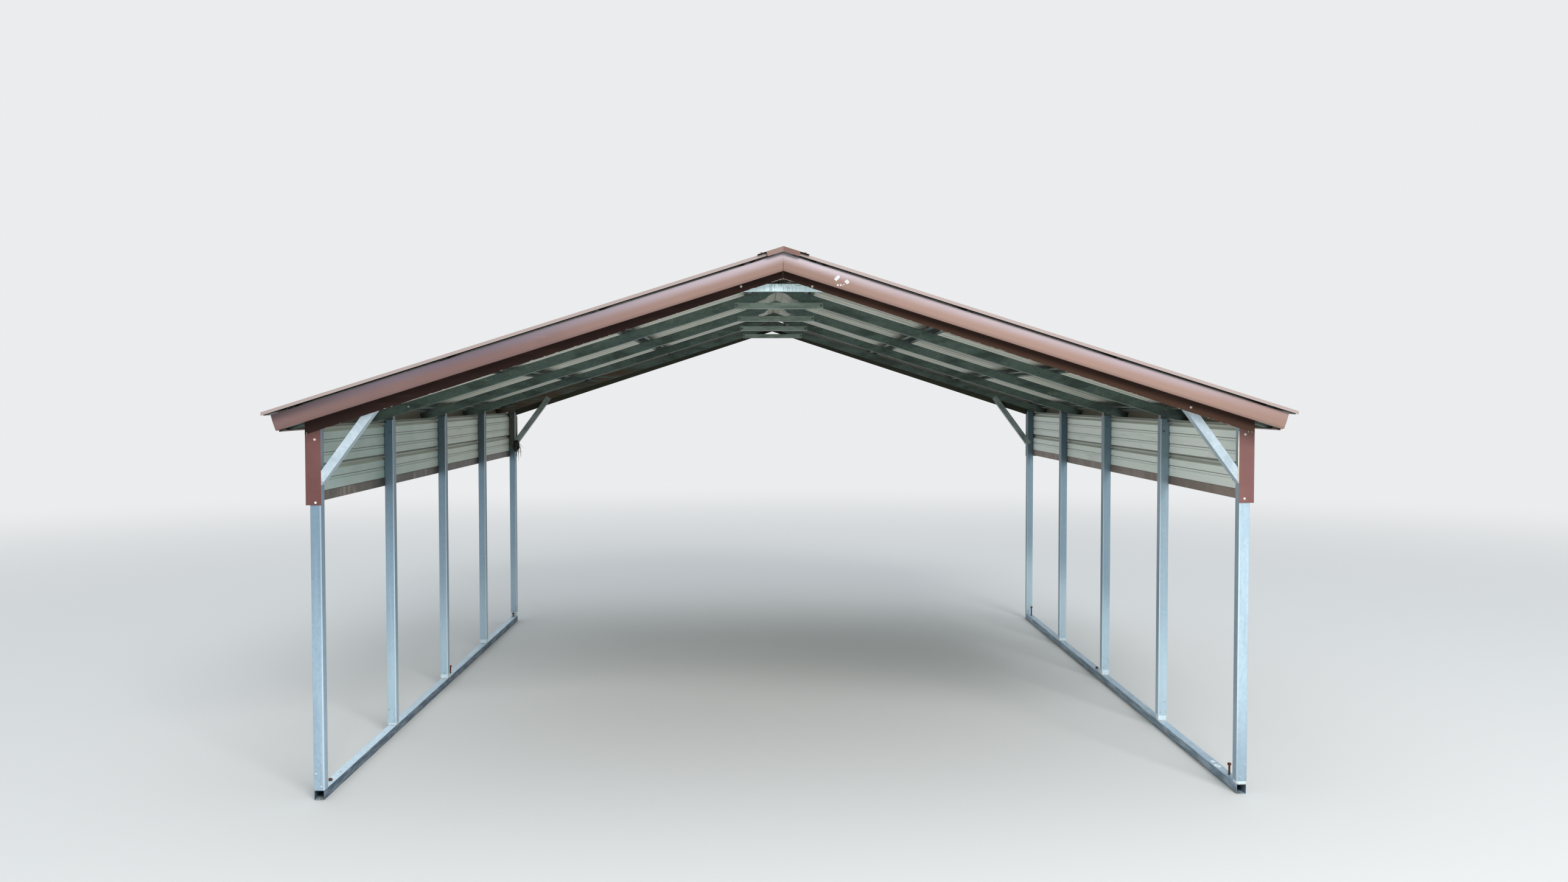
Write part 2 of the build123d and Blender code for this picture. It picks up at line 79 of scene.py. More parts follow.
class Finish:
    """One material while it is made. Its methods add nodes and return what comes out of them. Only
    paint and stain return nothing: they lay a colour over the one so far."""

    def __init__(self, name, metallic, roughness):
        self.material = bpy.data.materials.new(name)
        self.material.use_nodes = True
        self.nodes = self.material.node_tree.nodes
        self.links = self.material.node_tree.links
        self.shader = self.nodes["Principled BSDF"]
        self.shader.inputs["Metallic"].default_value = metallic
        self.shader.inputs["Roughness"].default_value = roughness
        self.place = self.nodes.new("ShaderNodeTexCoord").outputs["Object"]
        self.axes = self.split(self.place)
        self.x, self.y, self.z = self.axes
        self.color = None

    def feed(self, socket, value):
        """Links an output into a socket, or writes a constant there."""
        if isinstance(value, bpy.types.NodeSocket):
            self.links.new(value, socket)
        elif isinstance(value, tuple) and socket.type == "RGBA":
            socket.default_value = (*value, 1.0)
        else:
            socket.default_value = value

    def split(self, vector):
        """The three parts of a vector."""
        node = self.nodes.new("ShaderNodeSeparateXYZ")
        self.feed(node.inputs[0], vector)
        return list(node.outputs)

    def number(self, operation, *values):
        """One sum of one to three numbers."""
        node = self.nodes.new("ShaderNodeMath")
        node.operation = operation
        for socket, value in zip(node.inputs, values):
            self.feed(socket, value)
        return node.outputs[0]

    def times(self, first, *others):
        """The product of numbers."""
        for other in others:
            first = self.number("MULTIPLY", first, other)
        return first

    def most(self, first, *others):
        """The greatest of numbers."""
        for other in others:
            first = self.number("MAXIMUM", first, other)
        return first

    def size(self, value):
        """A number without its sign."""
        return self.number("ABSOLUTE", value)

    def facing(self, axis):
        """One component of the true normal."""
        return self.split(self.nodes.new("ShaderNodeNewGeometry").outputs["Normal"])[axis]

    def stretched(self, length, shift=(0.0, 0.0, 0.0)):
        """The surface point divided by a length along each axis."""
        node = self.nodes.new("ShaderNodeMapping")
        self.feed(node.inputs["Vector"], self.place)
        node.inputs["Scale"].default_value = tuple(1.0 / part for part in length)
        node.inputs["Location"].default_value = shift
        return node.outputs[0]

    def cloud(self, length, detail=3.0, rough=0.5, shift=(0.0, 0.0, 0.0)):
        """Soft noise from 0 to 1, whose lumps have that length along each axis."""
        node = self.nodes.new("ShaderNodeTexNoise")
        self.feed(node.inputs["Vector"], self.stretched(length, shift))
        node.inputs["Scale"].default_value = 1.0
        node.inputs["Detail"].default_value = detail
        node.inputs["Roughness"].default_value = rough
        return node.outputs[0]

    def flakes(self, length):
        """One random grey for each crystal, of that length along each axis."""
        node = self.nodes.new("ShaderNodeTexVoronoi")
        self.feed(node.inputs["Vector"], self.stretched(length))
        node.inputs["Scale"].default_value = 1.0
        return self.split(node.outputs["Color"])[0]

    def spot(self, middle, reach):
        """How far the surface point is from a middle, in shares of the reach along each axis."""
        node = self.nodes.new("ShaderNodeVectorMath")
        node.operation = "LENGTH"
        shift = tuple(-place / part for place, part in zip(middle, reach))
        self.feed(node.inputs[0], self.stretched(reach, shift))
        return node.outputs["Value"]

    def rise(self, value, low, high, out_low=0.0, out_high=1.0):
        """A smooth step as the value goes from low to high."""
        node = self.nodes.new("ShaderNodeMapRange")
        node.interpolation_type = "SMOOTHSTEP"
        for socket, number in zip(node.inputs, (value, low, high, out_low, out_high)):
            self.feed(socket, number)
        return node.outputs[0]

    def blend(self, share, first, second):
        """The first colour where the share is 0, the second where it is 1."""
        node = self.nodes.new("ShaderNodeMix")
        node.data_type = "RGBA"
        self.feed(node.inputs[0], share)
        self.feed(node.inputs[6], first)
        self.feed(node.inputs[7], second)
        return node.outputs[2]

    def between(self, value, low, high, first, second, strength=1.0):
        """The first colour where the value is low, going over to the second as it reaches high."""
        return self.blend(self.rise(value, low, high, 0.0, strength), first, second)

    def paint(self, share, color):
        """Lays another colour over the colour so far, by that share."""
        self.color = self.blend(share, self.color, color)

    def stain(self, value, low, high, color, strength=1.0):
        """Lays another colour over the colour so far as the value goes from low to high."""
        self.color = self.between(value, low, high, self.color, color, strength)

    def bump(self, height, depth, under=None):
        """A relief of that depth in metres for a height from 0 to 1, on top of another one."""
        node = self.nodes.new("ShaderNodeBump")
        node.inputs["Strength"].default_value = 1.0
        node.inputs["Distance"].default_value = depth
        self.feed(node.inputs["Height"], height)
        if under is not None:
            self.feed(node.inputs["Normal"], under)
        return node.outputs[0]

    def dress(self, roughness=None, relief=None):
        """Puts the finished colour, roughness and relief on the shader."""
        for name, value in (("Base Color", self.color), ("Roughness", roughness), ("Normal", relief)):
            if value is not None:
                self.feed(self.shader.inputs[name], value)
        return self.material


def bowl(flat_radius, rim_radius, rim_height, rings, round_steps):
    """A point at angle a and step t from 0 to 1: it lies flat out to the flat radius, and from there
    its radius and height follow a quarter of an ellipse up to the rim."""
    flat = np.linspace(0.05, flat_radius, 6)
    bend = np.linspace(0.0, np.pi / 2, rings)[1:]
    radius = np.concatenate([flat, flat_radius + (rim_radius - flat_radius) * np.sin(bend)])
    height = np.concatenate([np.zeros(6), rim_height * (1 - np.cos(bend))])
    angle = np.linspace(0, 2 * np.pi, round_steps, endpoint=False)
    circle = np.stack([np.cos(angle), np.sin(angle)], axis=-1)
    height = np.broadcast_to(height[:, None, None], (len(radius), round_steps, 1))
    points = np.concatenate([radius[:, None, None] * circle, height], axis=2)
    index = np.arange(len(radius) * round_steps).reshape(len(radius), round_steps)
    after = np.roll(index, -1, axis=1)
    quads = np.stack([index[:-1], index[1:], after[1:], after[:-1]], axis=-1).reshape(-1, 4)
    return points, quads.tolist() + [index[0].tolist()]


floor = add_mesh("floor", *bowl(40.0, 54.0, 26.0, 14, 96))
floor.data.shade_smooth()
stage = Finish("floor_paint", 0.0, 0.9)
stage.shader.inputs["Specular IOR Level"].default_value = 0.1
rays = stage.nodes.new("ShaderNodeLightPath").outputs
seen = stage.most(rays["Is Camera Ray"], rays["Is Glossy Ray"])
stage.color = stage.blend(seen, (0.68, 0.68, 0.66), (0.62, 0.62, 0.615))
distance = stage.spot((0.0, 0.0, 0.0), (1.0, 1.0, 1.0))
far_seen = stage.times(stage.rise(distance, 5.0, 24.0), seen)
haze = stage.nodes.new("ShaderNodeEmission")
haze.inputs["Color"].default_value = (0.83, 0.84, 0.85, 1)
floor.data.materials.append(stage.dress())
floor_mix = stage.nodes.new("ShaderNodeMixShader")
for socket, value in zip(floor_mix.inputs, (far_seen, stage.shader.outputs[0], haze.outputs[0])):
    stage.links.new(value, socket)
stage.links.new(floor_mix.outputs[0], stage.nodes["Material Output"].inputs["Surface"])

sky = bpy.data.worlds.new("sky")
sky.use_nodes = True
sky.node_tree.nodes["Background"].inputs["Color"].default_value = (0.88, 0.95, 1.0, 1)
sky.node_tree.nodes["Background"].inputs["Strength"].default_value = 0.95
bpy.context.scene.world = sky


def soft_lamp(name, place, aim, width, height, power):
    """A rectangular lamp at a place, turned so that its own -Z points at the aim."""
    lamp = bpy.data.lights.new(name, "AREA")
    lamp.shape = "RECTANGLE"
    lamp.size = width
    lamp.size_y = height
    lamp.energy = power
    carrier = bpy.data.objects.new(name, lamp)
    bpy.context.scene.collection.objects.link(carrier)
    backward = np.array(place, float) - np.array(aim, float)
    backward /= np.linalg.norm(backward)
    sideways = np.cross([0.0, 0.0, 1.0], backward)
    sideways = sideways / np.linalg.norm(sideways)
    frame_of_lamp = np.eye(4)
    frame_of_lamp[:3, :] = np.column_stack([sideways, np.cross(backward, sideways), backward, place])
    carrier.matrix_world = Matrix(frame_of_lamp.tolist())


soft_lamp("front_lamp", (4.5, -17.0, 12.0), (0.0, 0.0, 1.5), 9.0, 6.0, 3000.0)
soft_lamp("top_lamp", (0.5, 1.0, 19.0), (0.0, 0.0, 0.0), 14.0, 14.0, 300.0)


# Base rails: 57 mm square tube, galvanised, laid on the ground and left open at both ends. Their
# tops are washed clean by the rain, and their sides hold grey stains and dried mud.
def tone(red, green, blue):
    """A colour given as it is seen, 0 to 255, turned into the shader's linear values."""
    seen = np.array([red, green, blue]) / 255.0
    linear = np.where(seen <= 0.04045, seen / 12.92, ((seen + 0.055) / 1.055) ** 2.4)
    return tuple(float(part) for part in linear)


def wear(names, material):
    """Puts a material on the named pieces of the frame."""
    for name in names:
        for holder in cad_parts[name].material_slots:
            holder.material = material


def sides(*endings):
    """The names of a left and a right piece for each ending."""
    return [f"{side}_{ending}" for side in ("left", "right") for ending in endings]


leg_x = 2.71125
bow_y = np.array([-3.01625, -1.508125, 0.0, 1.508125, 3.01625])
rail_top = 0.0572
rail_half_length = 3.048

rail = Finish("rail_zinc", 0.3, 0.45)
rail_flake = rail.flakes((0.012, 0.02, 0.012))
rail.color = rail.blend(rail_flake, tone(190, 212, 228), tone(208, 228, 240))
rail_right = rail.blend(rail_flake, tone(150, 173, 190), tone(170, 192, 207))
rail.stain(rail.x, -1.0, 1.0, rail_right)
rail.stain(rail.y, -1.8, -0.8, tone(84, 104, 118), 0.22)
splashes = (((2.712, -2.563), (0.012, 0.024)), ((2.707, -2.663), (0.018, 0.038)))
for splash_place, splash_reach in splashes:
    rail_splash = rail.spot((*splash_place, rail_top), (*splash_reach, 0.02))
    rail_splash = rail.number("ADD", rail_splash, rail.cloud((0.01, 0.01, 0.01)))
    rail.stain(rail_splash, 1.65, 1.35, tone(236, 244, 248), 0.9)
rail_stain = rail.rise(rail.cloud((0.02, 0.22, 0.03), 5.0, 0.65), 0.36, 0.62)
rail_grey = rail.blend(rail_stain, tone(150, 170, 186), tone(116, 135, 150))
rail_left = rail.blend(rail_stain, tone(104, 124, 142), tone(72, 92, 110))
rail_grey = rail.between(rail.x, 1.0, -1.0, rail_grey, rail_left)
rail.stain(rail.facing(2), 0.8, 0.3, rail_grey)
rail_patch = rail.cloud((0.03, 0.12, 0.03), 4.0, 0.6, (3.0, 1.0, 0.0))
rail.stain(rail_patch, 0.58, 0.72, tone(150, 162, 168), 0.4)
rail_mud = rail.number("MULTIPLY_ADD", rail.z, 14.0, rail.cloud((0.02, 0.15, 0.02), 4.0, 0.6))
rail.stain(rail_mud, 0.60, 0.50, tone(140, 130, 108), 0.7)
rail_from_end = rail.number("SUBTRACT", rail_half_length, rail.size(rail.y))
rail_rust = rail.number("SUBTRACT", rail.cloud((0.02, 0.02, 0.02), 4.0, 0.7), rail_from_end)
rail.stain(rail_rust, 0.54, 0.62, tone(120, 88, 66), 0.6)
rail_rough = rail.rise(rail_stain, 0.0, 1.0, 0.40, 0.62)
rail_relief = rail.bump(rail.cloud((0.05, 0.25, 0.05)), 0.0012)
rail_relief = rail.bump(rail_flake, 0.0001, rail_relief)
wear(sides("base_rail"), rail.dress(rail_rough, rail_relief))


# Rail sleeves and bow sleeves: square stubs inside both ends of each leg, welded on the rails and
# under the bows. Where a leg stands off its rail, the weld's rippled beads and burnt zinc show.
stand_off = {
    -1: np.array([0.0, 0.016, 0.035, 0.038, 0.043]),
    1: np.array([0.019, 0.041, 0.045, 0.027, 0.0]),
}

sleeve = Finish("sleeve_zinc", 0.35, 0.4)
sleeve_flake = sleeve.flakes((0.008, 0.008, 0.012))
sleeve.color = sleeve.blend(sleeve_flake, tone(212, 230, 238), tone(226, 240, 246))
sleeve_burn = sleeve.cloud((0.012, 0.012, 0.008), 3.0, 0.6)
sleeve_burn = sleeve.number("MULTIPLY_ADD", sleeve.z, 14.0, sleeve_burn)
sleeve.stain(sleeve_burn, 1.38, 1.30, tone(158, 150, 140), 0.6)
# The bow sleeves, high up under the roof, are darkened as painted shade.
sleeve.stain(sleeve.z, 1.0, 1.5, tone(74, 88, 88))
wear(["rail_sleeves", "bow_sleeves"], sleeve.dress(None, sleeve.bump(sleeve_flake, 0.0001)))


def add_skin(name, points, finish, sharp=0.6):
    """Skin over points in the order copy, ring, place on the ring: each ring joins the next by quads,
    its last place joins its first, and one face closes the first ring and one the last."""
    copies, rings, around = points.shape[:3]
    index = np.arange(copies * rings * around).reshape(copies, rings, around)
    after = np.roll(index, -1, axis=2)
    quads = np.stack([index[:, :-1], after[:, :-1], after[:, 1:], index[:, 1:]], axis=-1).reshape(-1, 4)
    caps = np.concatenate([index[:, 0, ::-1], index[:, -1]])
    piece = add_mesh(name, points, quads.tolist() + caps.tolist())
    piece.data.shade_smooth()
    piece.data.set_sharp_from_angle(angle=sharp)
    piece.data.materials.append(finish)
    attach(piece, "root")
    return piece


def weld_beads(starts, ends, radius, ripples, stations, seed):
    """A bead runs straight from its start to its end. At share t of its length its ring has the
    radius times 1 + 0.22 |sin(pi ripples t)| and a random part, times the root of 1 - (2t - 1)^8,
    which is kept above a third at both ends."""
    share = np.linspace(0.0, 1.0, stations)
    along = (ends - starts)[:, None, :]
    path = starts[:, None, :] + along * share[None, :, None]
    unit = along / np.linalg.norm(along, axis=-1, keepdims=True)
    side = np.cross([0.0, 0.0, 1.0], unit)
    top = np.cross(unit, side)
    lumps = np.random.default_rng(seed).normal(0.0, 0.07, (len(starts), stations))
    swell = 1 + 0.22 * np.abs(np.sin(np.pi * ripples * share)) + lumps
    swell = swell * np.sqrt(np.clip(1 - (2 * share - 1) ** 8, 0.1, 1))
    angle = np.linspace(0, 2 * np.pi, 9)[:-1]
    ring = np.cos(angle)[:, None] * side[:, :, None, :] + np.sin(angle)[:, None] * top[:, :, None, :]
    return path[:, :, None, :] + radius * swell[:, :, None, None] * ring


weld = Finish("weld_steel", 0.6, 0.5)
weld_cloud = weld.cloud((0.006, 0.006, 0.006), 4.0, 0.7)
weld.color = weld.between(weld_cloud, 0.4, 0.62, tone(196, 206, 210), tone(150, 136, 122))
weld_steel = weld.dress(None, weld.bump(weld_cloud, 0.0006))
weld_half, weld_off = 0.026, 0.0305
weld_spots = [
    (side * leg_x, y + fore * weld_off)
    for side in (-1, 1)
    for y, gap in zip(bow_y, stand_off[side])
    for fore in (-1, 1)
    if gap > 0.01
]
weld_start = np.array([(x - weld_half, y, rail_top + 0.0008) for x, y in weld_spots])
weld_skin = weld_beads(weld_start, weld_start + [2 * weld_half, 0.0, 0.0], 0.0036, 9, 40, 3)
add_skin("sleeve_welds", weld_skin, weld_steel, 1.2)


# Ground anchors: ribbed steel rods driven down through both walls of a rail, their heads spread
# like mushrooms by the hammer. They are bare steel, rusted dark brown all over.
anchor_x = np.array([-leg_x, -leg_x, -leg_x, leg_x, leg_x, leg_x])
anchor_y = np.array([-2.851, 0.183, 2.953, -2.851, 0.239, 2.883])
anchor_top = rail_top + np.array([0.0, 0.050, 0.028, 0.058, 0.0, 0.082])


def driven_rods(x, y, top):
    """A ring at share t of the rod stands at t times its top, and at angle a its radius is 6.3 mm
    times 1 + 0.07 sin(90 t + 2a). The head's rings follow a list of radii and rises, made uneven by
    sines of three and five times the angle."""
    x, y, top = (part[:, None, None] for part in (x, y, top))
    share = np.linspace(0.0, 1.0, 49)[:, None]
    angle = np.linspace(0, 2 * np.pi, 15)[:-1]
    rod_radius = 0.0063 * (1 + 0.07 * np.sin(share * 90.0 + 2 * angle))
    rod_radius, rod_height = np.broadcast_arrays(rod_radius, top * share)
    head_radius = np.array([0.0098, 0.0122, 0.0129, 0.0127, 0.0112, 0.0074, 0.0030])[:, None]
    head_rise = np.array([0.0004, 0.0022, 0.0062, 0.0100, 0.0132, 0.0152, 0.0158])[:, None]
    phase = np.arange(len(top))[:, None, None] * 1.7
    uneven = 1 + 0.045 * np.sin(3 * angle + phase) + 0.035 * np.sin(5 * angle - 2 * phase)
    head_radius, head_height = np.broadcast_arrays(head_radius * uneven / 1.08, top + head_rise)
    radius = np.concatenate([rod_radius, head_radius], axis=1)
    height = np.concatenate([rod_height, head_height], axis=1)
    return np.stack([x + radius * np.cos(angle), y + radius * np.sin(angle), height], axis=-1)


rust = Finish("anchor_rust", 0.15, 0.85)
rust_cloud = rust.cloud((0.006, 0.006, 0.009), 5.0, 0.7)
rust.color = rust.blend(rust_cloud, tone(70, 40, 28), tone(128, 78, 50))
rust_scale = rust.cloud((0.011, 0.011, 0.016), 4.0, 0.6, (5.0, 0.0, 0.0))
rust.stain(rust_scale, 0.5, 0.62, tone(52, 36, 32))
anchor_rust = rust.dress(rust.rise(rust_cloud, 0.2, 0.8, 0.72, 0.92), rust.bump(rust_cloud, 0.0009))
anchor_skin = driven_rods(anchor_x, anchor_y, anchor_top)
anchors = add_skin("anchor_rods", anchor_skin, anchor_rust, 0.9)
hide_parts("ground_anchors")


# Legs: 63.5 mm square tube slid over the sleeves, galvanised in the strip before it was rolled, so
# the spangle is fine and the zinc bloom runs in long streaks. Two screws hold each end. Light and
# shade are painted on them: the right legs are lighter; the legs further back, their side faces and
# their upper parts are darker, with the shadow of the side panels on the rear ones; the feet under
# the roof are lighter; and a highlight runs along the inner edge of each front face.
leg = Finish("leg_zinc", 0.45, 0.42)
leg_flake = leg.flakes((0.014, 0.014, 0.02))
leg_bloom = leg.cloud((0.035, 0.035, 1.1), 4.0, 0.6)
leg_blotch = leg.cloud((0.06, 0.06, 0.5), 4.0, 0.6, (7.0, 0.0, 0.0))
leg.color = leg.blend(leg_flake, tone(155, 179, 197), tone(167, 190, 207))
# A lit copy of the zinc: the right legs are painted lighter, as painted light.
leg_bright = leg.blend(leg_flake, tone(176, 199, 214), tone(188, 210, 222))
leg.stain(leg.x, -2.0, 2.0, leg_bright)
leg.stain(leg_bloom, 0.48, 0.7, tone(196, 214, 226), 0.5)
# Legs from the second one back are darkened as painted shade under the roof.
leg.stain(leg.y, -2.9, -1.6, tone(124, 150, 168), 0.4)
leg.stain(leg_blotch, 0.54, 0.76, tone(150, 172, 188), 0.5)
on_left = leg.rise(leg.x, 1.0, -1.0)
on_right = leg.rise(leg.x, -1.0, 1.0)
front_leg = leg.rise(leg.y, -2.2, -2.8)
under_roof = leg.rise(leg.y, -2.8, -2.2)
leg_inside = leg.most(under_roof, on_right, leg.rise(leg.z, 1.3, 1.9))
leg_flank = leg.rise(leg.size(leg.facing(0)), 0.5, 0.9)
# Painted shade on the side faces of the legs under the roof, on the right and high up, more towards the
# top.
leg.paint(leg.times(leg_flank, leg_inside, leg.rise(leg.z, 0.3, 1.3, 0.2, 0.4)), tone(78, 98, 110))
# Painted shade: the legs under the roof darken towards their tops.
leg.paint(leg.times(under_roof, leg.rise(leg.z, 1.6, 2.15, 0.0, 0.55)), tone(58, 80, 86))
# Painted shade: the left legs darken upwards from 0.9 m.
leg.paint(leg.times(on_left, leg.rise(leg.z, 0.9, 1.7, 0.0, 0.45)), tone(86, 114, 134))
# Painted shadow of the side panels on the legs from the middle back, stronger on the left, above about
# 1.7 m.
leg_panel_shadow = leg.times(on_left, leg.rise(leg.y, -1.2, 0.4, 0.0, 0.5))
leg_panel_shadow = leg.most(leg_panel_shadow, leg.rise(leg.y, -0.8, 1.6, 0.0, 0.6))
leg.paint(leg.times(leg_panel_shadow, leg.rise(leg.z, 1.66, 1.80)), tone(58, 64, 58))
leg_grime = leg.number("ADD", leg.z, leg.cloud((0.05, 0.05, 0.12), 4.0, 0.6))
leg_grime = leg.times(leg.rise(leg_grime, 2.25, 2.40, 0.0, 0.7), leg.rise(leg.y, 2.5, 2.9), on_left)
leg.paint(leg_grime, tone(84, 76, 62))
leg_inward = leg.number("SUBTRACT", leg_x, leg.size(leg.x))
# Painted highlight along the rounded inner edge of each leg's front face.
leg_edge_highlight = leg.rise(leg_inward, 0.0225, 0.0245, 0.0, 0.55)
leg.paint(leg.times(leg_edge_highlight, leg.rise(leg.facing(1), -0.5, -0.9)), tone(222, 238, 248))
leg.paint(leg.times(on_right, front_leg, leg.rise(leg.z, 0.7, 0.1, 0.0, 0.5)), tone(124, 148, 168))
# Painted shade on the upper parts of the front legs, more on the left.
leg_upper_shade_left = leg.times(on_left, front_leg, leg.rise(leg.z, 0.7, 1.4, 0.0, 0.35))
leg_upper_shade_right = leg.times(on_right, front_leg, leg.rise(leg.z, 1.3, 1.7, 0.0, 0.16))
leg.paint(leg.most(leg_upper_shade_right, leg_upper_shade_left), tone(90, 118, 138))
# Painted light: the legs under the roof are lightened towards their feet.
leg.paint(leg.times(under_roof, leg.rise(leg.z, 0.95, 0.3, 0.0, 0.38)), tone(216, 238, 248))
# Painted shade on the right legs from the middle back, above about 0.7 m.
leg_rear_right_shade = leg.times(on_right, leg.rise(leg.y, -1.2, -0.4), leg.rise(leg.z, 0.5, 0.9, 0.0, 0.34))
leg.paint(leg_rear_right_shade, tone(66, 104, 126))
leg_low = leg.number("SUBTRACT", leg.z, leg.cloud((0.02, 0.02, 0.05), 4.0, 0.6))
leg.stain(leg_low, -0.42, -0.54, tone(150, 156, 154), 0.45)
leg_rough = leg.rise(leg_bloom, 0.3, 0.8, 0.36, 0.56)
leg_relief = leg.bump(leg.cloud((0.08, 0.08, 0.5)), 0.0014)
leg_relief = leg.bump(leg_flake, 0.00008, leg_relief)
wear(sides("leg_1", "leg_2", "leg_3", "leg_4", "leg_5"), leg.dress(leg_rough, leg_relief))


def screw_heads(places, outward, size, seed):
    """Hexagon heads on round washers. A ring of radius r and rise h about the place p, whose outward
    direction is w, has points p + r cos(a) u + r sin(a) v + h w with u, v, w square to one another.
    The hexagon's rings have the radius r / cos(a mod 60 - 30 degrees). Each head is turned at random."""
    places = np.asarray(places, float)
    outward = np.asarray(outward, float)
    guide = np.where(np.abs(outward[:, 1:2]) > 0.9, [1.0, 0.0, 0.0], [0.0, 1.0, 0.0])
    first = np.cross(guide, outward)
    first = first / np.linalg.norm(first, axis=1, keepdims=True)
    second = np.cross(outward, first)
    angle = np.arange(12) * 30.0
    washer, hexagon = np.ones(12), 1 / np.cos(np.radians(angle % 60.0 - 30.0))
    rings = [(1.25, -0.1, washer), (1.25, 0.12, washer), (1.1, 0.24, washer), (0.72, 0.26, hexagon),
             (0.72, 0.8, hexagon), (0.62, 0.92, hexagon), (0.3, 0.9, washer)]
    radius = size * np.array([r * shape for r, _, shape in rings])
    rise = size * np.array([h for _, h, _ in rings])
    turn = np.random.default_rng(seed).uniform(0, np.pi / 3, (len(places), 1, 1)) + np.radians(angle)
    return (
        places[:, None, None, :]
        + (radius[None] * np.cos(turn))[..., None] * first[:, None, None, :]
        + (radius[None] * np.sin(turn))[..., None] * second[:, None, None, :]
        + rise[None, :, None, None] * outward[:, None, None, :]
    )


def screw_finish(name, bright, dark, metallic):
    """Plated or painted screw heads, with dirt that differs from one to the next."""
    finish = Finish(name, metallic, 0.4)
    change = finish.cloud((0.05, 0.05, 0.05), 3.0, 0.6)
    finish.color = finish.between(change, 0.35, 0.65, bright, dark)
    return finish.dress(finish.rise(change, 0.3, 0.7, 0.35, 0.6))


plated_screw = screw_finish("plated_screw", tone(194, 208, 220), tone(160, 172, 182), 0.3)
dark_bolt = screw_finish("dark_bolt", tone(70, 76, 74), tone(120, 126, 120), 0.5)
leg_half = 0.03175
quarters = ((-1, -1), (-1, 1), (1, -1), (1, 1))
# Trims cover the outer faces of the end legs at their tops, so no screw shows there.
foot_places, top_places = [], []
for side, fore in quarters:
    for x, above in ((2.729, 0.097), (2.700, 0.022)):
        feet = zip(bow_y, rail_top + stand_off[side])
        foot_places += [(side * x, y + fore * leg_half, foot + above) for y, foot in feet]
    for x, z in ((2.734, 2.181), (2.705, 2.108)):
        top_places += [(side * x, y + fore * leg_half, z) for y in bow_y if y * fore < 3.0]
leg_facing = np.array([(0.0, fore, 0.0) for side, fore in quarters])
foot_skin = screw_heads(foot_places, np.repeat(leg_facing, 10, axis=0), 0.0054, 11)
add_skin("foot_screws", foot_skin, plated_screw)
# The tops of the legs hold the same plated screws as the feet; they get the dark bolt colours as painted
# shade under the roof.
top_skin = screw_heads(top_places, np.repeat(leg_facing, 8, axis=0), 0.0064, 12)
add_skin("leg_top_screws", top_skin, dark_bolt)


# Bows: one length of square tube bent at the ridge, its lower wall crimped up into an arch by the
# bending. Their dark green-grey is partly grime and partly painted shade, as they lie under the roof,
# and the rearmost bow's left half is stained brown.
ridge_under = 3.06587
slope_sin, slope_cos = 0.30071, 0.95372


def off_slope(finish):
    """How far the point stands square to the slope from the underside of the bows."""
    flat = finish.times(finish.size(finish.x), slope_sin)
    drop = finish.number("SUBTRACT", finish.z, ridge_under)
    return finish.number("MULTIPLY_ADD", drop, slope_cos, flat)


def slope_points(side, s, n, y):
    """Points on the right (1) or left (-1) slope: s down it, n square to it, at y."""
    side, s, n, y = np.broadcast_arrays(np.asarray(side, float), s, n, y)
    height = ridge_under - s * slope_sin + n * slope_cos
    return np.stack([side * (s * slope_cos + n * slope_sin), y, height], axis=-1)


bow = Finish("bow_zinc", 0.4, 0.5)
bow_flake = bow.flakes((0.02, 0.02, 0.014))
bow_grime = bow.cloud((0.30, 0.05, 0.10), 5.0, 0.62)
# A darkened copy of the zinc: partly grime, partly painted shade under the roof.
bow.color = bow.blend(bow_flake, tone(82, 100, 94), tone(95, 113, 105))
bow.stain(bow_grime, 0.42, 0.66, tone(66, 80, 74))
bow_dust = bow.cloud((0.05, 0.05, 0.05), 5.0, 0.7, (2.0, 4.0, 0.0))
bow.stain(bow_dust, 0.58, 0.7, tone(124, 126, 114), 0.5)
bow_brown = bow.rise(bow.cloud((0.5, 0.04, 0.03), 5.0, 0.65, (1.0, 9.0, 0.0)), 0.40, 0.58)
bow_rear = bow.times(bow.rise(bow.y, 2.5, 2.7), bow.rise(bow.x, -0.9, -1.7, 0.15, 0.9))
bow.paint(bow.times(bow_rear, bow_brown), tone(88, 66, 48))
bow_zinc = bow.dress(bow.rise(bow_grime, 0.3, 0.7, 0.42, 0.62), bow.bump(bow_grime, 0.0012))
wear([f"bow_{number}" for number in range(1, 6)], bow_zinc)


# Peak braces: short bent channels slipped up round the bows under the ridge and bolted through at
# both ends. The front one is given a far brighter zinc than the rear ones, with darker streaks where
# water runs down its middle.
brace = Finish("peak_brace_zinc", 0.25, 0.45)
brace_grime = brace.cloud((0.18, 0.05, 0.05), 5.0, 0.62)
brace_dull = brace.between(brace_grime, 0.4, 0.62, tone(150, 168, 157), tone(124, 140, 130))
brace_streak = brace.cloud((0.02, 0.05, 0.09), 5.0, 0.7)
brace_bright = brace.between(brace_streak, 0.5, 0.68, tone(226, 250, 255), tone(198, 226, 231))
brace_middle = brace.rise(brace.size(brace.number("ADD", brace.x, 0.02)), 0.12, 0.05, 0.0, 0.5)
brace_drip = brace.times(brace.rise(brace_streak, 0.47, 0.60), brace_middle)
brace_bright = brace.blend(brace_drip, brace_bright, tone(128, 146, 144))
brace.color = brace.between(brace.y, -2.7, -2.9, brace_dull, brace_bright)
brace_zinc = brace.dress(None, brace.bump(brace_grime, 0.001))
wear([f"peak_brace_{number}" for number in range(1, 6)], brace_zinc)

brace_face = 0.034
front_and_rear = [(0.0, -1.0, 0.0), (0.0, 1.0, 0.0)]
peak_bolts = [
    (side * 0.295, y + fore * brace_face, 2.987)
    for fore in (-1, 1)
    for side in (-1, 1)
    for y in bow_y
    if y * fore < 3.0
]
peak_skin = screw_heads(peak_bolts, np.repeat(front_and_rear, 8, axis=0), 0.0088, 21)
add_skin("peak_brace_bolts", peak_skin, dark_bolt)


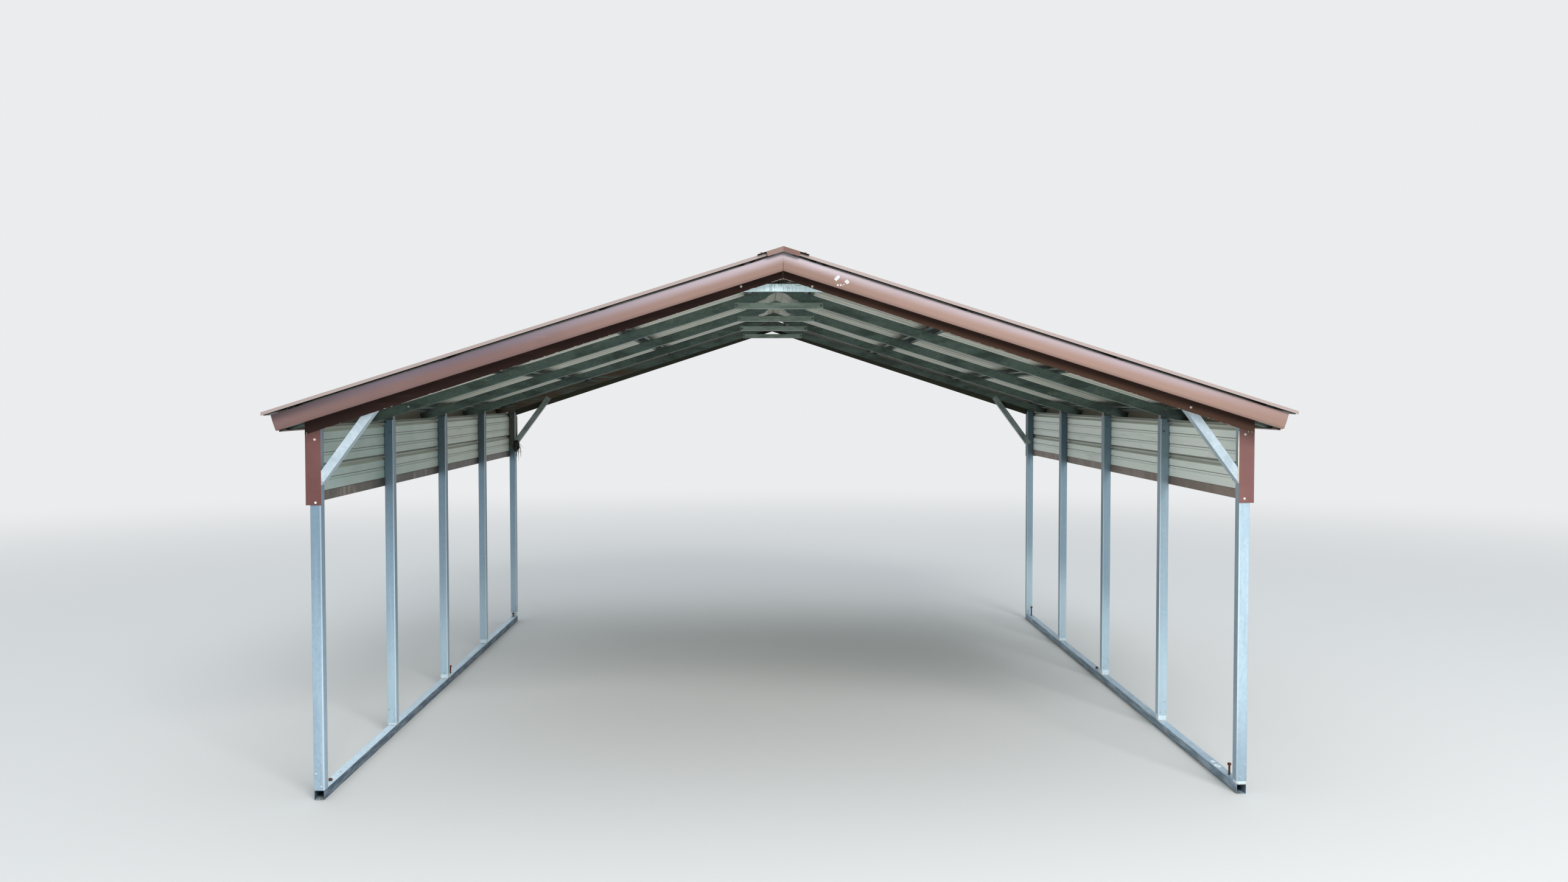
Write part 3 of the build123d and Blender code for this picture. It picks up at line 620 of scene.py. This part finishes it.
# Dry grass: birds have carried stalks into the hollow between the first bow and its peak brace, and
# have hung a clump of them at the foot of the left rear knee brace.
def stalks(starts, ends, sag, radius, seed):
    """A stalk runs from its start to its end, sagging by 4 sag t (1 - t), with a wave of random depth
    across it. Its ring at share t is a triangle, the radius times 3 sin(pi t) but at least 0.2 and
    at most 1."""
    rng = np.random.default_rng(seed)
    share = np.linspace(0.0, 1.0, 13)
    depth = rng.normal(0, 0.004, (len(starts), 1, 3))
    waves = rng.uniform(0.8, 2.2, (len(starts), 1))
    wave = depth * np.sin(2 * np.pi * share * waves)[..., None]
    path = starts[:, None, :] + (ends - starts)[:, None, :] * share[:, None] + wave
    path[..., 2] -= 4 * sag * share * (1 - share)
    tangent = np.gradient(path, axis=1)
    tangent = tangent / np.linalg.norm(tangent, axis=-1, keepdims=True)
    first = np.cross(tangent, [0.31, 0.83, 0.46])
    first = first / np.linalg.norm(first, axis=-1, keepdims=True)
    second = np.cross(tangent, first)
    thin = radius * np.clip(np.sin(np.pi * share) * 3, 0.2, 1)[None, :, None, None]
    angle = np.radians([0.0, 120.0, 240.0])[:, None]
    ring = np.cos(angle) * first[:, :, None, :] + np.sin(angle) * second[:, :, None, :]
    return path[:, :, None, :] + thin * ring


grass = Finish("dry_grass", 0.0, 0.9)
grass_change = grass.cloud((0.02, 0.02, 0.02), 3.0, 0.6)
grass.color = grass.between(grass_change, 0.35, 0.65, tone(104, 92, 74), tone(206, 200, 182))
ridge_grass = grass.dress(None, grass.bump(grass_change, 0.0005))
ridge_random = np.random.default_rng(5)
ridge_start = np.column_stack([
    ridge_random.uniform(-0.085, 0.05, 30),
    ridge_random.uniform(-3.045, -3.0, 30),
    ridge_random.uniform(3.000, 3.024, 30),
])
ridge_run = np.column_stack([
    ridge_random.uniform(0.02, 0.09, 30),
    ridge_random.normal(0, 0.006, 30),
    ridge_random.normal(-0.004, 0.006, 30),
])
ridge_skin = stalks(ridge_start, ridge_start + ridge_run, -0.002, 0.0011, 6)
add_skin("ridge_grass", ridge_skin, ridge_grass)

clump = Finish("nest_grass", 0.0, 0.95)
clump_change = clump.cloud((0.015, 0.015, 0.015), 4.0, 0.65)
clump.color = clump.between(clump_change, 0.4, 0.66, tone(40, 34, 32), tone(96, 88, 78))
nest_grass = clump.dress(None, clump.bump(clump_change, 0.003))
knot_random = np.random.default_rng(17)
knot_x = knot_random.uniform(-0.092, 0.072, 150)
knot_rise = knot_random.uniform(0.0, 1.0, 150) * (0.024 - 0.22 * np.abs(knot_x + 0.01))
knot_start = np.column_stack([knot_x, knot_random.uniform(-3.042, -2.996, 150), 3.008 + knot_rise])
knot_run = np.column_stack([
    knot_random.uniform(0.012, 0.04, 150),
    knot_random.normal(0, 0.008, 150),
    knot_random.normal(-0.001, 0.004, 150),
])
knot_skin = stalks(knot_start, knot_start + knot_run, -0.001, 0.0024, 18)
add_skin("ridge_knot", knot_skin, nest_grass)

nest_random = np.random.default_rng(7)
nest_middle = np.array([-2.668, 2.966, 1.848])
nest_reach = np.array([0.036, 0.024, 0.058])
nest_ends = nest_random.normal(0.0, 1.0, (2, 150, 3))
nest_ends = nest_ends / np.linalg.norm(nest_ends, axis=-1, keepdims=True)
nest_start, nest_end = nest_middle + nest_reach * nest_ends
hang_start = nest_middle + np.column_stack([
    nest_random.uniform(-0.01, 0.045, 26),
    nest_random.normal(0, 0.014, 26),
    nest_random.uniform(-0.05, 0.03, 26),
])
hang_run = np.column_stack([
    nest_random.normal(0.004, 0.012, 26),
    nest_random.normal(0, 0.008, 26),
    nest_random.uniform(-0.16, -0.03, 26),
])
nest_skin = stalks(nest_start, nest_end, 0.006, 0.0030, 8)
hang_skin = stalks(hang_start, hang_start + hang_run, 0.0, 0.0010, 9)
add_skin("rear_nest", np.concatenate([nest_skin, hang_skin]), nest_grass)


# Knee braces: the same channel on the slant between a corner leg and its bow, cut square at both
# ends, with two screws at the foot and one at the top. The front two are bright, the rear two dull.
knee = Finish("knee_brace_zinc", 0.5, 0.42)
knee_flake = knee.flakes((0.016, 0.016, 0.016))
knee_patch = knee.cloud((0.12, 0.05, 0.12), 4.0, 0.6)
knee.color = knee.blend(knee_flake, tone(186, 204, 214), tone(202, 216, 225))
knee.stain(knee_patch, 0.5, 0.68, tone(170, 187, 195), 0.7)
knee.stain(knee.x, -1.0, 1.0, tone(112, 128, 134), 0.16)
knee_dull = knee.between(knee_patch, 0.4, 0.62, tone(152, 163, 160), tone(120, 130, 127))
knee.stain(knee.y, -0.5, 0.5, knee_dull)
wear(sides("front_knee_brace", "rear_knee_brace"), knee.dress(None, knee.bump(knee_patch, 0.0005)))

bolt_off = 0.0341
knee_places, knee_facing = [], []
for side, end in quarters:
    for x, z, outer in ((2.668, 1.861, 1), (2.668, 1.861, -1), (2.3345, 2.3258, -1)):
        knee_places.append((side * x, end * (bow_y[-1] + outer * bolt_off), z))
        knee_facing.append((0.0, end * outer, 0.0))
# One more screw sits alone in the front of the second bow.
knee_places.append((-2.5735, -1.5401, 2.2872))
knee_facing.append((0.0, -1.0, 0.0))
knee_skin = screw_heads(knee_places, knee_facing, 0.0062, 31)
add_skin("knee_brace_screws", knee_skin, plated_screw)


# Roof channels: hat-shaped lengths of galvanised sheet laid from front to rear over the bows, with
# a screw through each flange into each bow. Underneath they are dusty, and their dark grey is partly
# grime and partly painted shade.
channel_s = np.array([0.180, 1.085, 1.990, 2.895])
channel = Finish("channel_zinc", 0.4, 0.5)
channel_grime = channel.cloud((0.04, 0.5, 0.04), 5.0, 0.62)
# Dark zinc: partly grime, partly painted shade under the roof.
channel.color = channel.between(channel_grime, 0.38, 0.64, tone(96, 108, 102), tone(66, 78, 74))
channel_dust = channel.cloud((0.03, 0.08, 0.03), 5.0, 0.7, (6.0, 0.0, 0.0))
channel.stain(channel_dust, 0.56, 0.72, tone(158, 158, 144), 0.5)
channel_rough = channel.rise(channel_grime, 0.3, 0.7, 0.42, 0.62)
channel_zinc = channel.dress(channel_rough, channel.bump(channel_grime, 0.001))
wear(sides("roof_channels"), channel_zinc)


def slope_screws(name, places, size, seed, finish):
    """Screws that stand square to the slopes at the places given by side, s, n and y."""
    side, s, n, y = (part.ravel() for part in np.broadcast_arrays(*places))
    facing = side[:, None] * [slope_sin, 0.0, 0.0] + [0.0, 0.0, slope_cos]
    add_skin(name, screw_heads(slope_points(side, s, n, y), facing, size, seed), finish)


both_sides = [-1.0, 1.0]
flange_spots = np.meshgrid(both_sides, channel_s, bow_y, [-0.042, 0.042], indexing="ij")
flange_side, flange_s, flange_y, flange_edge = flange_spots
flange_top = 0.0647
flange_places = (flange_side, flange_s + flange_edge, flange_top, flange_y + 0.006)
slope_screws("channel_screws", flange_places, 0.0065, 41, plated_screw)


# Roof sheets: ribbed steel, brown paint outside and a cream backer inside, each lapped over its
# neighbour's rib and screwed down beside every rib along each channel. Rain has left dirt lines.
# Their front and rear edges are lightened as painted highlight; underneath, the rib grooves and a
# strip near each end are darkened as painted shade.
roof = Finish("roof_sheet_paint", 0.0, 0.45)
roof_out = roof.size(roof.y)
roof_fade = roof.cloud((1.8, 0.6, 1.8), 4.0, 0.6)
roof_wash = roof.cloud((0.9, 0.02, 0.9), 5.0, 0.65)
roof.color = roof.between(roof_fade, 0.35, 0.65, tone(118, 82, 71), tone(132, 94, 82))
roof.stain(roof_wash, 0.55, 0.75, tone(96, 76, 68))
roof_pale = roof.cloud((0.05, 0.02, 0.05), 5.0, 0.7, (3.0, 3.0, 0.0))
roof.stain(roof_pale, 0.62, 0.75, tone(168, 142, 128), 0.5)
# Painted highlight on the front and rear edges of the sheets.
roof.stain(roof_out, 3.203, 3.209, tone(158, 144, 140), 0.85)
roof_brown = roof.color
roof.color = roof.between(roof_fade, 0.3, 0.7, tone(198, 199, 184), tone(214, 214, 202))
roof_damp = roof.cloud((0.35, 0.05, 0.35), 5.0, 0.65, (5.0, 2.0, 1.0))
roof.stain(roof_damp, 0.5, 0.72, tone(158, 158, 138))
# Painted shade in the rib grooves underneath.
roof.stain(off_slope(roof), 0.1092, 0.1116, tone(92, 96, 82), 0.7)
# Painted shade on the underside near the front and rear ends, under the rake trims.
roof.stain(roof_out, 3.09, 3.14, tone(28, 22, 24))
roof.color = roof.between(roof.facing(2), 0.05, -0.05, roof_brown, roof.color)
roof_rough = roof.rise(roof_wash, 0.3, 0.7, 0.38, 0.55)
roof_relief = roof.bump(roof.cloud((0.6, 0.12, 0.6)), 0.0018)
wear(sides("roof_sheets"), roof.dress(roof_rough, roof_relief))

brown_screw = screw_finish("brown_screw", tone(128, 90, 78), tone(96, 66, 56), 0.1)
roof_end, rib_pitch = 3.2004, 0.2286
rib_y = rib_pitch * np.arange(29) - roof_end
screw_side, screw_s, screw_y = np.meshgrid(both_sides, channel_s, rib_y[:-1] + 0.036, indexing="ij")
sheet_top = 0.1098
screw_places = (screw_side, screw_s, sheet_top, screw_y)
slope_screws("roof_screws", screw_places, 0.0068, 51, brown_screw)


# Ridge cap: a folded strip of the same brown sheet over the upper ends of the roof sheets, screwed
# through the crown of every rib, with a fold that hangs down over each end.
cap = Finish("ridge_cap_paint", 0.0, 0.42)
cap_fade = cap.cloud((0.3, 0.4, 0.3), 4.0, 0.6)
cap.color = cap.between(cap_fade, 0.35, 0.65, tone(118, 82, 72), tone(140, 100, 90))
cap_chalk = cap.cloud((0.05, 0.05, 0.05), 5.0, 0.7, (4.0, 0.0, 2.0))
cap.stain(cap_chalk, 0.6, 0.74, tone(164, 136, 126), 0.6)
cap_out = cap.size(cap.y)
cap_line = cap.number("PINGPONG", cap.number("ADD", cap.y, roof_end), rib_pitch / 6)
cap_line = cap.number("MINIMUM", cap_line, cap.size(cap.x))
cap_back = cap.between(cap_line, 0.009, 0.004, tone(186, 186, 162), tone(82, 82, 64), 0.8)
# Painted shade: the underside goes dark near the front and rear ends.
cap_back = cap.between(cap_out, 2.65, 2.85, cap_back, tone(32, 26, 25))
cap.stain(cap.facing(2), 0.05, -0.05, cap_back)
cap_face = cap.between(cap.x, -0.002, 0.002, tone(127, 101, 92), tone(107, 76, 66))
cap.stain(cap_out, 3.2290, 3.2296, cap_face)
wear(["ridge_cap"], cap.dress(None, cap.bump(cap.cloud((0.2, 0.3, 0.2)), 0.002)))

cap_side, cap_y = np.meshgrid(both_sides, rib_y, indexing="ij")
cap_crown_s, cap_crown_top = 0.088, 0.1338
cap_places = (cap_side, cap_crown_s, cap_crown_top, cap_y)
slope_screws("ridge_screws", cap_places, 0.0068, 61, brown_screw)


# Rake trims: roll-formed brown fascias, bulged a little, that close the ends of the roof channels
# at the front and the rear. The sun has chalked them, and their pinkish tone is partly that chalk and
# partly a painted reflection of the sky. Along their tops lies a lavender painted reflection of the
# sky, dark at the left end as a painted shadow of the roof edge, and their lower edge is darkened as
# painted shade.
def inward(finish, axis):
    """1 on the faces that look along that axis towards the middle of the carport, 0 on the others."""
    turned = finish.times(finish.number("SIGN", finish.axes[axis]), finish.facing(axis))
    return finish.rise(turned, -0.45, -0.55)


rake = Finish("rake_trim_paint", 0.0, 0.38)
rake_n = off_slope(rake)
rake_fade = rake.cloud((0.9, 0.5, 0.9), 4.0, 0.6)
# The painted reflection of the sky for the tops: dark at the left end, as a painted shadow of the roof
# edge, and lavender towards the middle.
rake.color = rake.between(rake.x, -2.9, -2.2, tone(56, 44, 50), tone(98, 88, 100))
rake.stain(rake.x, -1.9, -0.1, tone(172, 159, 168))
rake.stain(rake.x, 0.1, 0.7, tone(160, 146, 153))
rake.stain(rake.x, 2.2, 2.9, tone(148, 120, 114))
rake_painted_sky = rake.color
# The pinkish body colour, lighter towards the right: partly chalk, partly a painted reflection of the
# sky.
rake.color = rake.between(rake.x, -1.6, -0.4, tone(113, 86, 83), tone(137, 109, 98))
rake.stain(rake.x, 0.2, 0.9, tone(152, 122, 110))
rake.stain(rake.x, 2.3, 2.9, tone(144, 114, 102))
rake.stain(rake_fade, 0.4, 0.64, tone(140, 111, 103), 0.3)
# The painted reflection over the upper part, then painted shade along the lower edge.
rake.stain(rake_n, 0.037, 0.092, rake_painted_sky, 0.85)
rake.stain(rake_n, 0.024, 0.008, tone(98, 72, 66), 0.4)
rake_scratch = rake.cloud((0.25, 0.1, 0.012), 5.0, 0.7, (8.0, 0.0, 3.0))
rake.stain(rake_scratch, 0.62, 0.76, tone(196, 168, 160), 0.35)
rake_seam = rake.rise(rake.size(rake.x), 0.005, 0.0015)
rake.paint(rake.times(rake_seam, rake.rise(rake_n, 0.060, 0.040, 0.0, 0.45)), tone(84, 58, 52))
rake.paint(inward(rake, 1), tone(196, 194, 184))
rake_relief = rake.bump(rake.cloud((0.5, 0.2, 0.08)), 0.002)
rake_paint = rake.dress(rake.rise(rake_fade, 0.3, 0.7, 0.32, 0.5), rake_relief)
wear(["front_rake_trim", "rear_rake_trim"], rake_paint)


# Paper scraps: what is left of pale labels that were stuck on the right half of the front rake
# trim. They are plain, torn at their edges, and lift a little at the corners.
def torn_patches(places, widths, lengths, turns, seed):
    """Low plates on the rake trim. The outline at angle a has the radius 1 / (|cos a|^6 + |sin a|^6)
    to the power 1/6, made uneven at random, and is scaled by half the width and half the length and
    turned. Three rings of it, the last one 0.6 as wide, rise 0.2, 0.7 and 0.6 mm, and the middle one
    also by 0.4 mm sin(2a)."""
    angle = np.linspace(0, 2 * np.pi, 29)[:-1]
    square = (np.abs(np.cos(angle)) ** 6 + np.abs(np.sin(angle)) ** 6) ** (-1 / 6)
    torn = square * (1 + np.random.default_rng(seed).normal(0, 0.06, (len(places), 28)))
    flat_x = 0.5 * np.array(widths)[:, None] * torn * np.cos(angle)
    flat_z = 0.5 * np.array(lengths)[:, None] * torn * np.sin(angle)
    turns = np.radians(turns)[:, None]
    shift_x = flat_x * np.cos(turns) - flat_z * np.sin(turns)
    shift_z = flat_x * np.sin(turns) + flat_z * np.cos(turns)
    scale = np.array([1.0, 1.0, 0.6])[:, None]
    rise = np.array([0.0002, 0.0007, 0.0006])[:, None]
    wave = np.array([0.0, 0.0004, 0.0])[:, None]
    shift_y = -rise - wave * np.sin(2 * angle)
    shift = np.broadcast_arrays(scale * shift_x[:, None], shift_y, scale * shift_z[:, None])
    return places[:, None, None, :] + np.stack(shift, axis=-1)


label = Finish("label_paper", 0.0, 0.6)
label_dirt = label.cloud((0.006, 0.006, 0.006), 4.0, 0.65)
label.color = label.between(label_dirt, 0.50, 0.66, tone(204, 204, 204), tone(138, 140, 146), 0.8)
label_paper = label.dress(None, label.bump(label_dirt, 0.0006))
label_s = np.array([0.303, 0.363, 0.319, 0.3345, 0.349])
label_n = np.array([0.0560, 0.0520, 0.0185, 0.0230, 0.0300])
label_widths = [0.034, 0.021, 0.011, 0.009, 0.016]
label_lengths = [0.019, 0.022, 0.009, 0.010, 0.0025]
label_turns = [46, 40, -12, 20, 32]
trim_bulge = 0.004 * np.sin(np.pi * (0.099 - label_n) / 0.095)
label_places = slope_points(1, label_s, label_n, -roof_end - trim_bulge)
label_skin = torn_patches(label_places, label_widths, label_lengths, label_turns, 91)
add_skin("label_scraps", label_skin, label_paper)


# Bow trims, eave trims, side panels' hems and corner trims: flat brown strips bent on a brake,
# screwed on last to cover the cut ends of tubes and sheets. Their backs are bare cream.
trim = Finish("trim_paint", 0.0, 0.42)
trim_fade = trim.cloud((0.35, 0.5, 0.35), 4.0, 0.6)
trim.color = trim.between(trim_fade, 0.36, 0.64, tone(97, 59, 56), tone(108, 68, 65))
trim_bright = trim.between(trim_fade, 0.36, 0.64, tone(110, 71, 67), tone(119, 80, 76))
trim_scuff = trim.cloud((0.1, 0.1, 0.03), 5.0, 0.7, (8.0, 1.0, 3.0))
trim.stain(trim_scuff, 0.62, 0.76, tone(168, 136, 126), 0.4)
trim.stain(trim.x, 0.0, 2.4, trim_bright)
trim.paint(trim.most(inward(trim, 0), inward(trim, 1)), tone(186, 186, 170))
trim_paint = trim.dress(None, trim.bump(trim.cloud((0.25, 0.25, 0.25)), 0.0015))
wear(sides("eave_trim", "front_corner_trim", "rear_corner_trim"), trim_paint)

band = Finish("bow_trim_paint", 0.0, 0.45)
band.shader.inputs["Specular IOR Level"].default_value = 0.15
band_n = off_slope(band)
band_fade = band.cloud((0.5, 0.3, 0.06), 4.0, 0.6)
# Painted shade: the bow trims sit back under the rake trims, so their brown is darkened, most at the top
# and on the left.
band_shaded_left = band.between(band_n, 0.004, -0.040, tone(48, 30, 26), tone(58, 38, 34))
band_shaded_right = band.between(band_n, 0.004, -0.040, tone(54, 35, 28), tone(106, 76, 62))
band.color = band.between(band.x, -0.2, 0.6, band_shaded_left, band_shaded_right)
band.stain(band_fade, 0.5, 0.72, tone(90, 64, 56), 0.25)
band_x = band.size(band.x)
band_low = band.number("MULTIPLY_ADD", band_x, 0.010, band_n)
band_low = band.number("MULTIPLY_ADD", band.cloud((0.01, 0.02, 0.004)), 0.004, band_low)
band_chips = band.cloud((0.035, 0.05, 0.05), 4.0, 0.6, (6.0, 0.0, 0.0))
band_chips = band.rise(band_chips, 0.55, 0.60, 0.0, 0.8)
band_bare = band.most(band.rise(band_x, 0.058, 0.045, 0.0, 0.85), band_chips)
band.paint(band.times(band_bare, band.rise(band_low, -0.0222, -0.0238)), tone(206, 200, 186))
# The bare cream backs are painted dark olive, as painted shade.
band.paint(inward(band, 1), tone(62, 62, 50))
band_paint = band.dress(None, band.bump(band_fade, 0.0012))
wear(["front_bow_trim", "rear_bow_trim"], band_paint)

hem = Finish("panel_hem_paint", 0.0, 0.5)
hem_fade = hem.cloud((0.2, 0.35, 0.2), 4.0, 0.6)
hem.color = hem.between(hem_fade, 0.36, 0.64, tone(124, 104, 94), tone(146, 126, 114))
hem_left = hem.between(hem_fade, 0.36, 0.64, tone(64, 58, 52), tone(94, 84, 74))
hem.stain(hem.x, 1.0, -1.0, hem_left)
# Pale vertical streaks: partly drip marks, partly painted reflections.
hem_drips_and_glints = hem.cloud((0.05, 0.10, 0.4), 3.0, 0.5, (2.0, 0.0, 5.0))
hem.stain(hem_drips_and_glints, 0.56, 0.7, tone(156, 146, 136), 0.6)
wear(sides("panel_hem"), hem.dress(None, hem.bump(hem_fade, 0.0012)))

white_screw = screw_finish("white_screw", tone(232, 228, 220), tone(206, 200, 190), 0.1)
trim_screws = np.array([
    (-0.2428, -3.0529, 2.9925),
    (0.1699, -3.0529, 2.9931),
    (2.3881, -3.0529, 2.2894),
    (2.711, -3.0516, 2.130),
    (2.710, -3.0516, 1.752),
    (-2.711, -3.0516, 2.108),
    (-2.710, -3.0516, 1.742),
])
trim_screws = np.concatenate([trim_screws, trim_screws * [-1.0, -1.0, 1.0]])
trim_skin = screw_heads(trim_screws, np.repeat(front_and_rear, 7, axis=0), 0.0058, 71)
add_skin("trim_screws", trim_skin, white_screw)

# The front right and the rear left corner trim have their inner edge turned over, and its cream
# back shows there as a narrow strip.
fold = Finish("trim_back", 0.0, 0.5)
fold_stain = fold.cloud((0.02, 0.02, 0.12), 4.0, 0.6)
fold.color = fold.between(fold_stain, 0.4, 0.66, tone(210, 204, 186), tone(176, 168, 152))
fold_paint = fold.dress(None, fold.bump(fold_stain, 0.0003))
corner_side = np.array([1.0, -1.0])[:, None, None]
fold_x = corner_side * np.array([2.6762, 2.6702, 2.6702, 2.6762])
fold_y = -corner_side * np.array([3.0520, 3.0520, 3.0508, 3.0508])
fold_z = np.linspace(1.8450, 2.150, 9)[:, None]
fold_skin = np.stack(np.broadcast_arrays(fold_x, fold_y, fold_z), axis=-1)
add_skin("corner_trim_folds", fold_skin, fold_paint)


# Loose ends of the trims: strips of paint film and cut tabs of sheet that stick out at the eaves
# where the trims were snipped, curled by the heat and the cold.
def curled_strips(starts, directions, lengths, widths, curl, steps):
    """A strip leaves its start along its direction and bends evenly towards -Y by the curl angle.
    Its ring at share t is a rectangle of that width, tapered to 60 percent, and 0.5 mm thick."""
    starts = np.array(starts)[:, None, :]
    directions = directions / np.linalg.norm(directions, axis=1, keepdims=True)
    bend = np.array(curl)[:, None] * np.linspace(0, 1, steps)
    step = np.array(lengths)[:, None] / (steps - 1) * (np.arange(steps) > 0)
    along = np.cumsum(step * np.cos(bend), axis=1)
    out = np.cumsum(step * np.sin(bend), axis=1)
    forward = np.array([0.0, -1.0, 0.0])
    path = starts + along[..., None] * directions[:, None, :] + out[..., None] * forward
    normal = np.cos(bend)[..., None] * forward - np.sin(bend)[..., None] * directions[:, None, :]
    side = np.cross(forward, directions)[:, None, None, :]
    half = 0.5 * np.array(widths)[:, None] * np.linspace(1.0, 0.6, steps)
    across = np.array([-1.0, 1.0, 1.0, -1.0])[None, None, :, None] * half[:, :, None, None] * side
    thick = np.array([0.0, 0.0, 0.0005, 0.0005])[None, None, :, None] * normal[:, :, None, :]
    return path[:, :, None, :] + across + thick


tab_starts = [
    (-2.7570, -3.0529, 2.150),
    (2.7300, -3.0529, 2.150),
    (2.7450, -3.0529, 2.147),
    (2.8735, -3.2040, 2.166),
]
tab_ways = [(0.25, 0.0, -1.0), (-0.5, 0.0, -1.0), (0.9, 0.0, -0.5), (0.15, 0.0, -1.0)]
tab_lengths = [0.026, 0.014, 0.020, 0.020]
tab_widths = [0.0035, 0.006, 0.005, 0.006]
tab_skin = curled_strips(tab_starts, tab_ways, tab_lengths, tab_widths, [1.3, 1.0, 1.4, 0.7], 9)
add_skin("loose_tabs", tab_skin, fold_paint)


# Side panels: the same ribbed sheet with its ribs level, screwed to the outer faces of the legs.
# The brown side is outside. Light and shade are painted on the cream inside: the right panel is
# near white and the left one darker; it is darker where the ribs are deep or look down, and lighter
# where they look up.
panel = Finish("side_panel_paint", 0.0, 0.45)
panel_side = panel.number("SIGN", panel.x)
panel_slant = panel.facing(2)
panel_fade = panel.cloud((0.3, 0.6, 0.3), 4.0, 0.6)
panel_brown = panel.between(panel_fade, 0.35, 0.65, tone(104, 68, 58), tone(124, 84, 74))
panel_near = panel.between(panel_fade, 0.3, 0.7, tone(158, 178, 174), tone(174, 192, 186))
panel_away = panel.between(panel_fade, 0.3, 0.7, tone(198, 205, 194), tone(210, 217, 206))
# Painted light: the inside of the right panel is near white; the left one keeps darker tones.
panel_right_lit = panel.between(panel_fade, 0.3, 0.7, tone(246, 255, 248), tone(250, 255, 250))
panel.color = panel.between(panel.y, -2.2, 1.2, panel_near, panel_away)
panel.stain(panel_side, -0.5, 0.5, panel_right_lit)
panel_damp = panel.cloud((0.3, 0.7, 0.06), 5.0, 0.65, (5.0, 2.0, 1.0))
panel.stain(panel_damp, 0.52, 0.74, tone(156, 164, 146), 0.4)
# Painted shade deep in the ribs and on faces that look down; painted light on faces that look up.
panel.stain(panel.size(panel.x), 2.750, 2.758, tone(120, 116, 88), 0.45)
panel.stain(panel_slant, -0.10, -0.42, tone(74, 72, 56), 0.8)
panel.stain(panel_slant, 0.6, 0.75, tone(236, 242, 230), 0.7)
panel_outward = panel.times(panel_side, panel.facing(0))
panel.color = panel.between(panel_outward, 0.05, -0.05, panel_brown, panel.color)
panel_relief = panel.bump(panel.cloud((0.2, 0.5, 0.12)), 0.0015)
wear(sides("side_panel"), panel.dress(None, panel_relief))

panel_face = 2.7457
panel_screws = [
    (side * panel_face, y, z)
    for side in both_sides
    for y in bow_y
    for z in (2.125, 1.975, 1.825)
]
panel_facing = np.repeat([(-1.0, 0.0, 0.0), (1.0, 0.0, 0.0)], 15, axis=0)
panel_skin = screw_heads(panel_screws, panel_facing, 0.0068, 81)
add_skin("panel_screws", panel_skin, brown_screw)
